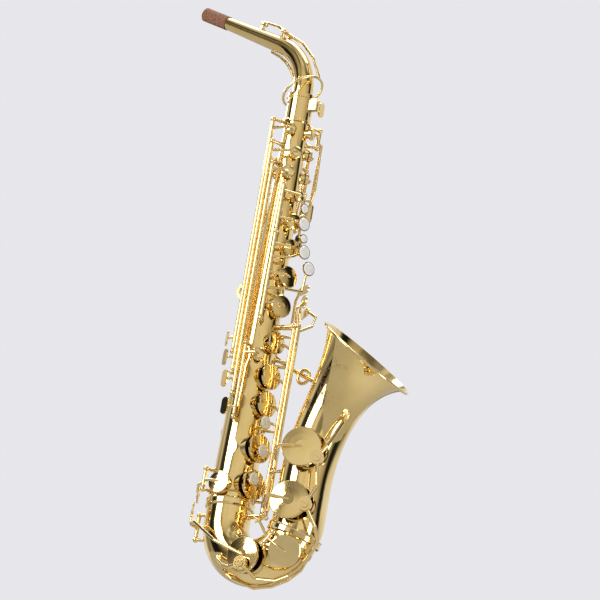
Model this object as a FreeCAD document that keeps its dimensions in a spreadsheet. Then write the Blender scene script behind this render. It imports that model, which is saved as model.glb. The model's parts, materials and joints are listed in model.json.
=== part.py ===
import FreeCAD, Part
import math
import os
import Sketcher

# Alto saxophone, modelled as the pieces it comes apart into.
# Working axes while the pieces are drawn: the body tube's axis is Z with z = 0 at the top of the
# neck receiver and z going down the tube, +X points at the bell, +Y at the player's left hand.
# A "drop" is a distance down from the receiver's top. A "swing" is an angle about the body axis,
# from +X towards +Y. Every piece is then moved so that the strap ring's hole is the origin.

DRIVING = {
    # main tubes
    "wall": 1.0,
    "body_top_drop": 24.0,
    "body_end_drop": 488.0,
    "body_top_radius": 13.4,
    "body_end_radius": 25.5,
    "receiver_length": 32.0,
    "receiver_radius": 14.8,
    "tenon_radius": 12.0,
    "tenon_length": 22.0,
    "bow_offset": 93.0,
    "bow_leg": 20.5,
    "bow_end_radius": 29.0,
    "bell_ferrule_turn": 161.0,
    "ferrule_width": 9.0,
    "ferrule_lip": 2.0,
    "bell_bend_drop": 470.0,
    "bell_bend_radius": 249.5,
    "bell_tilt": 38.0,
    "bell_rim_radius": 57.5,
    "rim_wire_radius": 1.6,
    # neck
    "neck_base_length": 11.0,
    "neck_bend_radius": 60.0,
    "neck_bend_turn": 68.0,
    "neck_arm_length": 120.0,
    "neck_base_radius": 12.0,
    "neck_tip_radius": 6.3,
    "pip_distance": 38.0,
    "cork_length": 36.0,
    "cork_radius": 8.0,
    # key work
    "rod_radius": 1.2,
    "running_gap": 0.05,
    "hinge_radius": 2.3,
    "post_ball_radius": 3.1,
    "post_foot_radius": 3.6,
    "seat_gap": 0.05,
    "arm_radius": 1.5,
    "chimney_height": 3.5,
    "chimney_wall": 0.9,
    "cup_overhang": 1.6,
    "cup_wall": 0.8,
    "cup_height": 4.4,
    "cup_dome": 0.9,
    "pad_thickness": 3.2,
    "pad_gap": 0.15,
    "pearl_radius": 7.2,
    "pearl_height": 2.4,
    # fittings
    "strap_ring_drop": 232.0,
    "strap_ring_hole": 6.5,
    "strap_ring_band": 3.2,
    "strap_ring_plate": 3.0,
    "thumb_hook_drop": 388.0,
    "thumb_hook_swing": 152.0,
    "thumb_rest_drop": 132.0,
    "thumb_rest_radius": 10.0,
}

# Tone holes of the body tube: drop, swing, outer radius of the key cup above each.
BODY_HOLES = {
    "high_f_sharp": (44.0, -72.0, 6.0),
    "high_e": (72.0, -42.0, 7.0),
    "palm_f": (43.0, 12.0, 7.0),
    "palm_e_flat": (66.0, 44.0, 7.0),
    "palm_d": (94.0, 38.0, 7.5),
    "side_c": (96.0, -58.0, 7.5),
    "c_vent": (122.0, -10.0, 6.5),
    "b": (154.0, -18.0, 9.5),
    "bis": (185.0, -12.0, 10.5),
    "a": (219.0, -8.0, 12.5),
    "g": (255.0, -16.0, 13.0),
    "side_b_flat": (316.0, -52.0, 7.5),
    "g_sharp": (297.0, -10.0, 13.0),
    "f_sharp": (339.0, -17.0, 14.5),
    "f": (371.5, -16.0, 14.5),
    "e": (424.0, -19.0, 16.5),
    "d": (467.0, -20.0, 17.0),
    "e_flat": (470.0, -88.0, 13.0),
    "body_octave": (86.0, 178.0, 4.5),
}

doc = FreeCAD.newDocument("saxophone")
sheet = doc.addObject("Spreadsheet::Sheet", "Dims")


def write_sheet():
    """Puts every driving size in the sheet, one row each, under its own alias."""
    rows = dict(DRIVING)
    for name, (drop, swing, radius) in BODY_HOLES.items():
        rows[name + "_hole_drop"] = drop
        rows[name + "_hole_swing"] = swing
        rows[name + "_cup_radius"] = radius
    for row, (alias, value) in enumerate(rows.items(), start=1):
        sheet.set("A%d" % row, alias.replace("_", " "))
        sheet.set("B%d" % row, str(value))
        sheet.setAlias("B%d" % row, alias)
    doc.recompute()


def dim(alias):
    """The number held by a cell of the sheet."""
    return float(sheet.get(alias))


write_sheet()
UP = FreeCAD.Vector(0, 0, 1)
AXIS_POINT = FreeCAD.Vector(0, 0, 0)


def vec(x, y, z):
    return FreeCAD.Vector(x, y, z)


def swing_dir(swing):
    """Unit vector square to the body axis at a swing angle in degrees."""
    return vec(math.cos(math.radians(swing)), math.sin(math.radians(swing)), 0)


def polar(reach, swing, drop):
    """Point at a distance from the body axis, a swing and a drop."""
    return swing_dir(swing) * reach + vec(0, 0, -drop)


def body_radius(drop):
    """Outer radius of the conical body tube at a drop."""
    share = (drop - dim("body_top_drop")) / (dim("body_end_drop") - dim("body_top_drop"))
    return dim("body_top_radius") + share * (dim("body_end_radius") - dim("body_top_radius"))


# Where the strap ring's hole ends up in the working axes; it becomes the origin.
RING_REACH = body_radius(dim("strap_ring_drop")) + dim("strap_ring_hole") + dim("strap_ring_band") + 2.0
ORIGIN_SHIFT = vec(RING_REACH, 0, dim("strap_ring_drop"))


# ---------------------------------------------------------------- solid helpers

def fuse(solids):
    """One shape from several that touch or overlap."""
    if len(solids) == 1:
        return solids[0]
    return solids[0].multiFuse(solids[1:])


def limb(points, radii):
    """A round bar along straight runs, with ball corners, tapering from point to point."""
    solids = []
    for start, end, r_start, r_end in zip(points, points[1:], radii, radii[1:]):
        run = end - start
        if abs(r_start - r_end) < 0.01:
            solids.append(Part.makeCylinder(r_start, run.Length, start, run))
        else:
            solids.append(Part.makeCone(r_start, r_end, run.Length, start, run))
    for point, radius in zip(points, radii):
        solids.append(Part.makeSphere(radius, point))
    return fuse(solids)


def turned(profile, base, axis):
    """A solid of revolution: profile is (radius, height) corners, turned about axis at base."""
    corners = [vec(radius, 0, height) for radius, height in profile]
    wire = Part.makePolygon(corners + corners[:1])
    solid = Part.Face(wire).revolve(AXIS_POINT, UP, 360)
    solid.Placement = FreeCAD.Placement(base, FreeCAD.Rotation(UP, axis))
    return solid


def dome_profile(radius, low, edge, top, steps=5):
    """Corners of a shallow dome from the outer edge up to the axis."""
    corners = []
    for step in range(steps + 1):
        angle = math.radians(90.0 * step / steps)
        corners.append((radius * math.cos(angle), edge + (top - edge) * math.sin(angle)))
    return [(0, low), (radius, low)] + corners


def key_cup(centre, normal, radius):
    """Pad cup: a shallow lid with a lip, hollow below for its pad."""
    wall = dim("cup_wall")
    height = dim("cup_height")
    roof = dim("pad_thickness") + dim("pad_gap") + 0.1
    lip = 1.0
    bevel = 1.1
    profile = [(0, roof), (radius - wall, roof), (radius - wall, lip), (radius, lip),
               (radius, height - bevel), (radius - bevel * 0.4, height - bevel * 0.35),
               (radius - bevel, height), (radius * 0.62, height + dim("cup_dome") * 0.55),
               (radius * 0.3, height + dim("cup_dome")), (0, height + dim("cup_dome"))]
    return turned(profile, centre, normal)


def chimney(centre, normal, radius, depth):
    """Tone-hole chimney whose top rim lies at centre, reaching depth back into the tube."""
    outer = radius - dim("cup_overhang")
    body = Part.makeCylinder(outer, depth, centre - normal * depth, normal)
    bore = Part.makeCylinder(outer - dim("chimney_wall"), depth * 2.0, centre - normal * depth * 1.9, normal)
    return body, bore


def touch_dish(centre, normal, radius):
    """Brass dish that holds a pearl; centre is the middle of its flat underside."""
    profile = [(0, 0), (radius * 0.72, 0), (radius + 0.9, 1.3), (radius + 0.9, 2.6), (radius + 0.15, 2.6),
               (radius + 0.15, 1.5), (0, 1.5)]
    return turned(profile, centre, normal)


def plate(centre, normal, along, length, width, thickness):
    """Flat touch with round ends: centre is the middle of its underside."""
    across = normal.cross(along)
    half = (length - width) / 2.0
    solids = []
    for end in (-1, 1):
        solids.append(Part.makeCylinder(width / 2.0, thickness, centre + along * half * end, normal))
    if half > 0:
        corner = centre - along * half - across * width / 2.0
        points = [corner, corner + along * half * 2, corner + along * half * 2 + across * width,
                  corner + across * width]
        face = Part.Face(Part.makePolygon(points + points[:1]))
        solids.append(face.extrude(normal * thickness))
    return fuse(solids)


def tube_along(stations, inset=0.0):
    """A solid of round sections: stations are (point, direction, radius)."""
    wires = []
    for point, direction, radius in stations:
        circle = Part.makeCircle(radius - inset, point, direction)
        wires.append(Part.Wire([circle]))
    return Part.makeLoft(wires, True, False)


# ---------------------------------------------------------------- document helpers

PARTS = []


def placed(obj, turn=None):
    """Gives a drawn piece its place: an optional turn about a hinge, then the shift to the origin."""
    shift = FreeCAD.Placement(ORIGIN_SHIFT, FreeCAD.Rotation())
    obj.Placement = shift.multiply(turn) if turn else shift
    PARTS.append(obj)
    return obj


def feature(name, shape, turn=None):
    """A sub-part whose shape comes from Part's own functions."""
    obj = doc.addObject("Part::Feature", name)
    obj.Label = name
    obj.Shape = shape
    own = shape.Placement
    return placed(obj, turn.multiply(own) if turn else own)


def revolved_body(name, corners, place):
    """PartDesign body turned from a closed outline of (radius, height) corners bound to the sheet.

    Each corner is a pair of expressions in sheet aliases."""
    body = doc.addObject("PartDesign::Body", name)
    body.Label = name
    sketch = body.newObject("Sketcher::SketchObject", name + "_outline")
    plane = [f for f in body.Origin.OriginFeatures if f.Role == "XZ_Plane"][0]
    sketch.AttachmentSupport = [(plane, "")]
    sketch.MapMode = "FlatFace"
    values = [(evaluate(r), evaluate(h)) for r, h in corners]
    count = len(values)
    for index in range(count):
        start = values[index]
        end = values[(index + 1) % count]
        sketch.addGeometry(Part.LineSegment(vec(start[0], start[1], 0), vec(end[0], end[1], 0)), False)
    for index in range(count):
        sketch.addConstraint(Sketcher.Constraint("Coincident", index, 2, (index + 1) % count, 1))
    for index, (radius, height) in enumerate(corners):
        for kind, expression, value in (("DistanceX", radius, values[index][0]),
                                        ("DistanceY", height, values[index][1])):
            number = sketch.addConstraint(Sketcher.Constraint(kind, -1, 1, index, 1, value))
            sketch.renameConstraint(number, "%s_%d" % (kind.lower(), index))
            sketch.setExpression("Constraints.%s_%d" % (kind.lower(), index), bound(expression))
    turn = body.newObject("PartDesign::Revolution", name + "_turn")
    turn.Profile = sketch
    turn.ReferenceAxis = (sketch, ["V_Axis"])
    turn.Angle = 360.0
    body.Tip = turn
    doc.recompute()
    return placed(body, place)


def bound(expression):
    """An expression in plain aliases, rewritten to read the sheet."""
    words = expression.replace("(", " ( ").replace(")", " ) ").split()
    return " ".join("Dims." + word if word[0].isalpha() else word for word in words)


def evaluate(expression):
    """The present value of an expression in plain aliases."""
    total = 0.0
    sign = 1.0
    for word in expression.split():
        if word in "+-":
            sign = 1.0 if word == "+" else -1.0
        else:
            total += sign * (dim(word) if word[0].isalpha() else float(word))
            sign = 1.0
    return total


# ---------------------------------------------------------------- centre lines of the tubes

def neck_station(run, extra=0.0):
    """Centre, direction and outer radius of the neck tube at a length from the receiver."""
    base = dim("neck_base_length")
    bend = dim("neck_bend_radius")
    turn = math.radians(dim("neck_bend_turn"))
    arc = bend * turn
    total = base + arc + dim("neck_arm_length")
    radius = dim("neck_base_radius") + (dim("neck_tip_radius") - dim("neck_base_radius")) * run / total
    if run <= base:
        point = vec(0, 0, run)
        angle = 0.0
    elif run <= base + arc:
        angle = (run - base) / bend
        point = vec(-bend * (1 - math.cos(angle)), 0, base + bend * math.sin(angle))
    else:
        angle = turn
        rest = run - base - arc
        point = vec(-bend * (1 - math.cos(angle)) - rest * math.sin(angle), 0,
                    base + bend * math.sin(angle) + rest * math.cos(angle))
    return point, vec(-math.sin(angle), 0, math.cos(angle)), radius + extra


def neck_length():
    """Length of the neck tube's centre line."""
    arc = dim("neck_bend_radius") * math.radians(dim("neck_bend_turn"))
    return dim("neck_base_length") + arc + dim("neck_arm_length")


def neck_outside(run, lift, side=0.0):
    """Point above the outer side of the neck tube at a run, lifted off its surface."""
    point, direction, radius = neck_station(run)
    outward = vec(direction.z, 0, -direction.x)
    return point + outward * (radius + lift) + vec(0, side, 0)


BOW_CENTRE_DROP = dim("body_end_drop") + dim("bow_leg")


def bow_station(turn, extra=0.0):
    """Centre, direction and outer radius of the bow: turn 0 at the body side, 180 at the bell side."""
    centre_reach = dim("bow_offset") / 2.0
    angle = math.radians(turn)
    point = vec(centre_reach * (1 - math.cos(angle)), 0, -BOW_CENTRE_DROP - centre_reach * math.sin(angle))
    direction = vec(math.sin(angle), 0, -math.cos(angle))
    share = turn / 180.0
    radius = dim("body_end_radius") + (dim("bow_end_radius") - dim("body_end_radius")) * share
    return point, direction, radius + extra


def bow_point(turn, lean, reach):
    """Point off the bow's centre line: lean 0 faces outward in the bend's plane, 90 faces -Y."""
    point, direction, radius = bow_station(turn)
    normal = bow_normal(turn, lean)
    return point + normal * reach


def bow_normal(turn, lean):
    """Unit vector square to the bow's centre line at a lean from outward towards -Y."""
    angle = math.radians(turn)
    outward = vec(-math.cos(angle), 0, -math.sin(angle))
    tilt = math.radians(lean)
    return outward * math.cos(tilt) + vec(0, -1, 0) * math.sin(tilt)


# The bell widens by this much evenly along its length; the rest of the flare grows as a power of it.
THROAT_TAPER = 0.6
FLARE_POWER = 6.5


def bell_station(run, extra=0.0):
    """Centre, direction and outer radius of the bell: run 0 at the bow's end, then up to the rim."""
    straight = BOW_CENTRE_DROP - dim("bell_bend_drop")
    bend = dim("bell_bend_radius")
    if run <= straight:
        angle = 0.0
        point = vec(dim("bow_offset"), 0, -BOW_CENTRE_DROP + run)
    else:
        angle = (run - straight) / bend
        point = vec(dim("bow_offset") + bend * (1 - math.cos(angle)), 0,
                    -dim("bell_bend_drop") + bend * math.sin(angle))
    share = run / bell_length()
    flare = dim("bell_rim_radius") - dim("bow_end_radius") - THROAT_TAPER
    radius = dim("bow_end_radius") + THROAT_TAPER * share + flare * share ** FLARE_POWER
    return point, vec(math.sin(angle), 0, math.cos(angle)), radius + extra


def bell_length():
    """Length of the bell's centre line."""
    straight = BOW_CENTRE_DROP - dim("bell_bend_drop")
    return straight + dim("bell_bend_radius") * math.radians(dim("bell_tilt"))


def bell_at_drop(drop):
    """The run along the bell whose centre lies at a drop."""
    straight = BOW_CENTRE_DROP - dim("bell_bend_drop")
    rise = BOW_CENTRE_DROP - drop
    if rise <= straight:
        return rise
    return straight + dim("bell_bend_radius") * math.asin((rise - straight) / dim("bell_bend_radius"))


# Key cups of the bow and bell: centre of the pad's plane, its normal, and the cup's outer radius.
PAD_LIFT = dim("chimney_height")
BELL_CUPS = {}


def bell_normal(drop, swing):
    """Unit vector square to the bell's centre line at a drop, facing a swing angle."""
    direction = bell_station(bell_at_drop(drop))[1]
    normal = swing_dir(swing)
    return (normal - direction * normal.dot(direction)).normalize()


def bell_point(drop, swing, lift):
    """Point lifted off the bell's outside, square to its centre line."""
    point, direction, tube = bell_station(bell_at_drop(drop))
    return point + bell_normal(drop, swing) * (tube + lift)


def add_bell_cup(name, drop, swing, radius):
    """Records a tone hole on the bell, facing a swing angle."""
    BELL_CUPS[name] = (bell_point(drop, swing, PAD_LIFT), bell_normal(drop, swing), radius)


def add_bow_cup(name, turn, lean, radius):
    """Records a tone hole on the bow."""
    tube = bow_station(turn)[2]
    BELL_CUPS[name] = (bow_point(turn, lean, tube + PAD_LIFT), bow_normal(turn, lean), radius)


LOW_C_SHARP_TURN = 141.0
add_bell_cup("low_b_flat", 432.0, -65.0, 22.5)
add_bell_cup("low_b", 496.0, -68.0, 22.0)
add_bow_cup("low_c_sharp", LOW_C_SHARP_TURN, 52.0, 18.0)
add_bow_cup("low_c", 101.0, 82.0, 20.5)


def body_cup(name):
    """Centre of the pad's plane, normal and cup radius of a hole in the body tube."""
    drop = dim(name + "_hole_drop")
    swing = dim(name + "_hole_swing")
    reach = body_radius(drop) + dim("chimney_height")
    return polar(reach, swing, drop), swing_dir(swing), dim(name + "_cup_radius")


# ---------------------------------------------------------------- tubes and sheet metal

def cone_object(name, radius_low, radius_high, drop_low, drop_high):
    """Upright Part::Cone between two drops, its sizes bound to sheet expressions."""
    cone = doc.addObject("Part::Cone", name)
    cone.setExpression("Radius1", bound(radius_low))
    cone.setExpression("Radius2", bound(radius_high))
    cone.setExpression("Height", bound(drop_low + " - " + drop_high))
    cone.setExpression("Placement.Base.z", "0 - " + bound(drop_low))
    return cone


def radial_cylinder(name, hole, radius, foot, length):
    """Part::Cylinder standing out of the body tube at a tone hole, bound to the hole's cells."""
    cylinder = doc.addObject("Part::Cylinder", name)
    cylinder.setExpression("Radius", bound(radius))
    cylinder.setExpression("Height", bound(length))
    swing = dim(hole + "_hole_swing")
    drop = dim(hole + "_hole_drop")
    normal = swing_dir(swing)
    start = body_radius(drop) + foot
    cylinder.Placement = FreeCAD.Placement(polar(start, swing, drop), FreeCAD.Rotation(UP, normal))
    return cylinder


def make_body_tube():
    """Conical tube with its drawn chimneys, bored through."""
    outer = cone_object("body_outer", "body_end_radius", "body_top_radius", "body_end_drop", "body_top_drop")
    inner = cone_object("body_inner", "body_end_radius - wall", "body_top_radius - wall",
                        "body_end_drop", "body_top_drop")
    walls = [outer]
    bores = [inner]
    for name in BODY_HOLES:
        rim = name + "_cup_radius - cup_overhang"
        walls.append(radial_cylinder(name + "_chimney", name, rim, -7.0, "chimney_height + 7"))
        bore_radius = rim + " - chimney_wall"
        bores.append(radial_cylinder(name + "_bore", name, bore_radius, -8.0, "chimney_height + 10"))
    wall_set = doc.addObject("Part::MultiFuse", "body_walls")
    wall_set.Shapes = walls
    bore_set = doc.addObject("Part::MultiFuse", "body_bores")
    bore_set.Shapes = bores
    tube = doc.addObject("Part::Cut", "body_tube")
    tube.Label = "body_tube"
    tube.Base = wall_set
    tube.Tool = bore_set
    doc.recompute()
    return placed(tube)


def stations_of(station, low, high, count, extra=0.0):
    """Evenly spaced sections of a tube."""
    return [station(low + (high - low) * index / (count - 1.0), extra) for index in range(count)]


def shell_with_holes(outer, inner, cups):
    """A hollow tube with chimneys added and bored."""
    walls = [outer]
    bores = [inner]
    for centre, normal, radius in cups:
        body, bore = chimney(centre, normal, radius, 12.0)
        walls.append(body)
        bores.append(bore)
    return fuse(walls).cut(fuse(bores))


def bow_core(extra=0.0):
    """Solid bow without its bore: short body-side leg, the bend, up to the bell ferrule."""
    gap = dim("seat_gap")
    top = vec(0, 0, -dim("body_end_drop") - gap)
    leg = Part.makeCylinder(dim("body_end_radius") + extra, dim("bow_leg") - gap + 0.01, top, UP * -1)
    bend = tube_along(stations_of(bow_station, 0.0, dim("bell_ferrule_turn"), 15, extra))
    return leg.fuse(bend)


def make_bow():
    """The U-bend under the body with the low C and C sharp chimneys."""
    cups = [BELL_CUPS["low_c_sharp"], BELL_CUPS["low_c"]]
    wall = dim("wall")
    top = vec(0, 0, -dim("body_end_drop") + wall)
    leg = Part.makeCylinder(dim("body_end_radius") - wall, dim("bow_leg") + wall + 0.01, top, UP * -1)
    bend = tube_along(stations_of(bow_station, 0.0, dim("bell_ferrule_turn") + 4.0, 15, -wall))
    return feature("bow", shell_with_holes(bow_core(), leg.fuse(bend), cups))


def bell_core(extra=0.0, low_reach=0.0, high_reach=0.0):
    """Solid bell without its bore, from the bell ferrule to the rim."""
    stations = []
    for step in range(5):
        start = dim("bell_ferrule_turn") - low_reach
        stations.append(bow_station(start + (180.0 - start) * step / 5.0, extra))
    length = bell_length() + high_reach
    for step in range(17):
        point, direction, radius = bell_station(length * step / 16.0, extra)
        stations.append((point, direction, radius))
    return tube_along(stations)


def make_bell():
    """Bell section with its flare and the low B and B flat chimneys."""
    cups = [BELL_CUPS["low_b_flat"], BELL_CUPS["low_b"]]
    return feature("bell", shell_with_holes(bell_core(), bell_core(-dim("wall"), 3.0, 1.0), cups))


def make_rim_wire():
    """Rolled wire around the bell's edge, just outside the sheet."""
    point, direction, radius = bell_station(bell_length())
    wire = doc.addObject("Part::Torus", "bell_rim_wire")
    wire.Label = "bell_rim_wire"
    wire.setExpression("Radius1", bound("bell_rim_radius + rim_wire_radius + seat_gap"))
    wire.setExpression("Radius2", bound("rim_wire_radius"))
    turn = FreeCAD.Placement(point - direction * dim("rim_wire_radius"), FreeCAD.Rotation(UP, direction))
    doc.recompute()
    return placed(wire, turn)


def ferrule(point, direction, radius):
    """Raised ring that covers a joint between two tubes."""
    lip = dim("ferrule_lip")
    half = dim("ferrule_width") / 2.0
    gap = dim("seat_gap")
    profile = [(radius + gap, -half), (radius + lip * 0.6, -half), (radius + lip, -half + 1.0),
               (radius + lip * 0.75, -half + 2.0), (radius + lip * 0.75, half - 2.0),
               (radius + lip, half - 1.0), (radius + lip * 0.6, half), (radius + gap, half)]
    return turned(profile, point, direction)


def make_ferrules():
    """The two joint rings of the bow."""
    joint = vec(0, 0, -dim("body_end_drop"))
    body_ring = ferrule(joint, UP, dim("body_end_radius") + 0.1)
    point, direction, radius = bow_station(dim("bell_ferrule_turn"))
    bell_ring = ferrule(point, direction, radius + 0.9)
    feature("body_ferrule", body_ring)
    feature("bell_ferrule", bell_ring)


def make_receiver():
    """Socket on the body's top: tenon bore above, body seat below, slit and two clamp ears."""
    gap = dim("seat_gap")
    bore = dim("tenon_radius") + gap
    seat = dim("body_top_radius") + 0.5
    outer = dim("receiver_radius")
    mid = -dim("body_top_drop") + gap
    low = -dim("receiver_length")
    profile = [(bore, 0), (outer + 1.0, 0), (outer + 1.0, -2.5), (outer, -3.2), (outer, low + 3.0),
               (outer + 0.7, low + 2.0), (outer + 0.7, low), (seat, low), (seat, mid), (bore, mid)]
    socket = turned(profile, AXIS_POINT, UP)
    ears = []
    for side in (-1, 1):
        box = Part.makeBox(10.0, 3.4, 13.0, vec(outer - 1.5, side * 2.4 - 1.7, -16.0))
        ears.append(box)
    shape = fuse([socket] + ears).cut(Part.makeCylinder(bore, 60.0, vec(0, 0, mid), UP))
    slit = Part.makeBox(40.0, 1.4, -mid - 1.0, vec(0, -0.7, mid + 1.0))
    hole = Part.makeCylinder(CLAMP_SCREW_RADIUS + gap, 30.0, CLAMP_SCREW - vec(0, 15.0, 0), vec(0, 1, 0))
    return feature("neck_receiver", shape.cut(slit).cut(hole))


CLAMP_SCREW = vec(dim("receiver_radius") + 4.8, 0, -9.5)
CLAMP_SCREW_RADIUS = 1.9


def make_clamp_screw():
    """Thumb screw with two flat wings that closes the receiver on the tenon."""
    side = vec(0, 1, 0)
    shank = Part.makeCylinder(CLAMP_SCREW_RADIUS, 16.0, CLAMP_SCREW - side * 5.5, side)
    head = Part.makeCylinder(3.6, 2.4, CLAMP_SCREW + side * 4.3, side)
    neck = Part.makeCone(3.2, 2.0, 4.0, CLAMP_SCREW + side * 6.6, side)
    wing = plate(CLAMP_SCREW + side * 14.5 - vec(1.1, 0, 0), vec(1, 0, 0), UP, 17.0, 9.0, 2.2)
    return feature("neck_clamp_screw", fuse([shank, head, neck, wing]))


def make_neck():
    """Neck tube, its tenon, brace strip and cork."""
    length = neck_length()
    gap = dim("seat_gap")
    wall = dim("wall")
    outer = tube_along(stations_of(neck_station, 0.0, length, 22))
    inner_stations = stations_of(neck_station, 0.0, length, 22, -wall)
    inner = tube_along(inner_stations)
    pip_base, direction, radius = neck_station(PIP_RUN)
    outward = vec(direction.z, 0, -direction.x)
    pip = Part.makeCylinder(2.6, radius + 4.0, pip_base, outward)
    pip_bore = Part.makeCylinder(1.1, radius + 6.0, pip_base, outward)
    feature("neck_tube", outer.fuse(pip).cut(fuse([inner, pip_bore])))
    plug = dim("tenon_radius")
    collar = dim("receiver_radius") + 0.6
    socket = dim("neck_base_radius") + 0.45
    profile = [(plug - wall, -dim("tenon_length")), (plug, -dim("tenon_length")), (plug, gap), (collar, gap),
               (collar, 2.4), (socket, 3.4), (socket, -gap), (plug - wall, -gap)]
    tenon = turned(profile, AXIS_POINT, UP)
    feature("neck_tenon", tenon)
    brace_runs = [30.0, 45.0, 60.0, 75.0, 92.0]
    strip = []
    for run in brace_runs:
        point, direction, radius = neck_station(run)
        inward = vec(-direction.z, 0, direction.x)
        bow = 1.9 + 1.2 * math.sin(math.pi * (run - brace_runs[0]) / (brace_runs[-1] - brace_runs[0]))
        strip.append(point + inward * (radius + bow))
    feature("neck_brace", limb(strip, [1.5, 1.7, 1.8, 1.7, 1.5]))
    tip, tip_direction, tip_radius = neck_station(length)
    revolved_body("neck_cork", [("neck_tip_radius + 1.1", "0"), ("cork_radius", "0"),
                                ("cork_radius", "cork_length - 0.8"), ("cork_radius - 0.8", "cork_length"),
                                ("neck_tip_radius + 0.15", "cork_length")],
                  FreeCAD.Placement(tip - tip_direction * (dim("cork_length") - 1.0),
                                    FreeCAD.Rotation(UP, tip_direction)))


PIP_RUN = neck_length() - dim("neck_arm_length") + dim("pip_distance")


# ---------------------------------------------------------------- hinges and keys

KEYS = {}
ROD_LINES = []
POSTS = {"stack_posts": [], "side_key_posts": [], "bell_key_posts": []}

# Upright hinge lines, as (x, y): keys of one line share its rod.
UPPER = (13.9, -24.8)
LOWER = (32.1, 18.1)
LOW_B_FLAT_LINE = (50.0, -2.0)
LOW_B_LINE = (44.5, -1.0)
LOW_C_SHARP_LINE = (45.0, 7.0)
SIDE_REACH = 28.5


def line_at(reach, swing):
    """An upright hinge line given by its distance and swing from the body axis."""
    point = polar(reach, swing, 0)
    return (point.x, point.y)


def on_line(line, drop):
    """Point of an upright hinge line at a drop."""
    return vec(line[0], line[1], -drop)


def hinge_tube(start, end):
    """Key tube between two points of its rod."""
    return Part.makeCylinder(dim("hinge_radius"), (end - start).Length, start, end - start)


def add_key(name, start, end, solids, rest, travel):
    """Finishes a key: its hinge tube from start to end, a bore for the rod, and its rest turn.

    rest is the angle it has turned away from closed when nobody touches it; travel is the range
    of its joint in degrees from rest. Both follow the right-hand rule about start to end."""
    axis = (end - start).normalize()
    shape = fuse([hinge_tube(start, end)] + solids)
    bore = Part.makeCylinder(dim("rod_radius") + dim("running_gap"), (end - start).Length + 8.0,
                             start - axis * 4.0, axis)
    shape = shape.cut(bore)
    turn = FreeCAD.Placement(vec(0, 0, 0), FreeCAD.Rotation(axis, rest), start)
    feature(name, shape, turn)
    KEYS[name] = {"point": start + ORIGIN_SHIFT, "axis": axis, "travel": travel, "turn": turn}


def arm_over(hinge, centre, normal, radius, clear=1.8):
    """Arm from a hinge point over a cup's edge down to the middle of its top."""
    top = dim("cup_height") + dim("cup_dome")
    aside = hinge - centre
    aside = (aside - normal * aside.dot(normal)).normalize()
    knee = centre + normal * (top + clear) + aside * (radius * 0.55)
    r = dim("arm_radius")
    middle = centre + normal * (top - 0.2)
    return limb([hinge, knee, middle], [r * 1.25, r * 1.05, r * 0.8])


def cup_and_arm(hinge, cup):
    """Pad cup with its arm."""
    centre, normal, radius = cup
    lifted = centre + normal * dim("pad_gap")
    return [key_cup(lifted, normal, radius), arm_over(hinge, centre, normal, radius)]


def stack_point(facing, outward, aside, drop):
    """Point in a stack's own axes: outward along its facing swing, aside towards +Y."""
    normal = swing_dir(facing)
    across = swing_dir(facing + 90.0)
    return normal * outward + across * aside + vec(0, 0, -drop)


UPPER_FACING = -10.0
LOWER_FACING = -20.0
STACK_OPEN = 8.0


def stack_key(name, line, drops, rest, travel, solids):
    """A key on one of the upright stack rods."""
    add_key(name, on_line(line, drops[1]), on_line(line, drops[0]), solids, rest, travel)


PEARLS = {}


def pearl_touch(name, facing, outward, aside, drop, stalk):
    """Dish for a pearl at a place in the stack's axes, on a stalk of points."""
    normal = swing_dir(facing)
    centre = stack_point(facing, outward, aside, drop)
    radius = dim("pearl_radius")
    PEARLS[name] = (centre, normal)
    solids = [touch_dish(centre, normal, radius)]
    r = dim("arm_radius")
    points = stalk + [centre - normal * 0.3]
    solids.append(limb(points, [r * 1.15] + [r] * (len(points) - 1)))
    return solids


def make_upper_stack():
    """C vent, B, bis, A and G keys; all stand open at rest except when pressed."""
    rest = -STACK_OPEN
    travel = (0.0, STACK_OPEN)
    up = UPPER_FACING
    stack_key("c_vent_key", UPPER, (115.6, 139.0), rest, travel,
              cup_and_arm(on_line(UPPER, 122.0), body_cup("c_vent")))
    cup = body_cup("b")
    pearl = pearl_touch("b", up, 29.0, 5.0, 155.0, [cup[0] + cup[1] * 5.2])
    stack_key("b_key", UPPER, (139.4, 167.0), rest, travel,
              cup_and_arm(on_line(UPPER, 154.0), cup) + pearl)
    cup = body_cup("bis")
    knob = stack_point(up, 28.5, 8.5, 171.5)
    knob_solids = [limb([cup[0] + cup[1] * 4.9, knob], [1.4, 1.4]), touch_dish(knob, swing_dir(up), 4.3)]
    stack_key("bis_key", UPPER, (174.1, 196.3), rest, travel,
              cup_and_arm(on_line(UPPER, 185.0), cup) + knob_solids)
    cup = body_cup("a")
    stalk = [on_line(UPPER, 201.0), stack_point(up, 31.0, -6.0, 198.5)]
    stack_key("a_key", UPPER, (196.7, 234.0), rest, travel,
              cup_and_arm(on_line(UPPER, 219.0), cup) + pearl_touch("a", up, 30.5, 11.0, 187.0, stalk))
    cup = body_cup("g")
    stalk = [on_line(UPPER, 238.0), stack_point(up, 32.0, -8.0, 237.0), stack_point(up, 32.3, 18.0, 232.0)]
    stack_key("g_key", UPPER, (234.4, 271.0), rest, travel,
              cup_and_arm(on_line(UPPER, 255.0), cup) + pearl_touch("g", up, 32.0, 20.0, 204.0, stalk))


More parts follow.
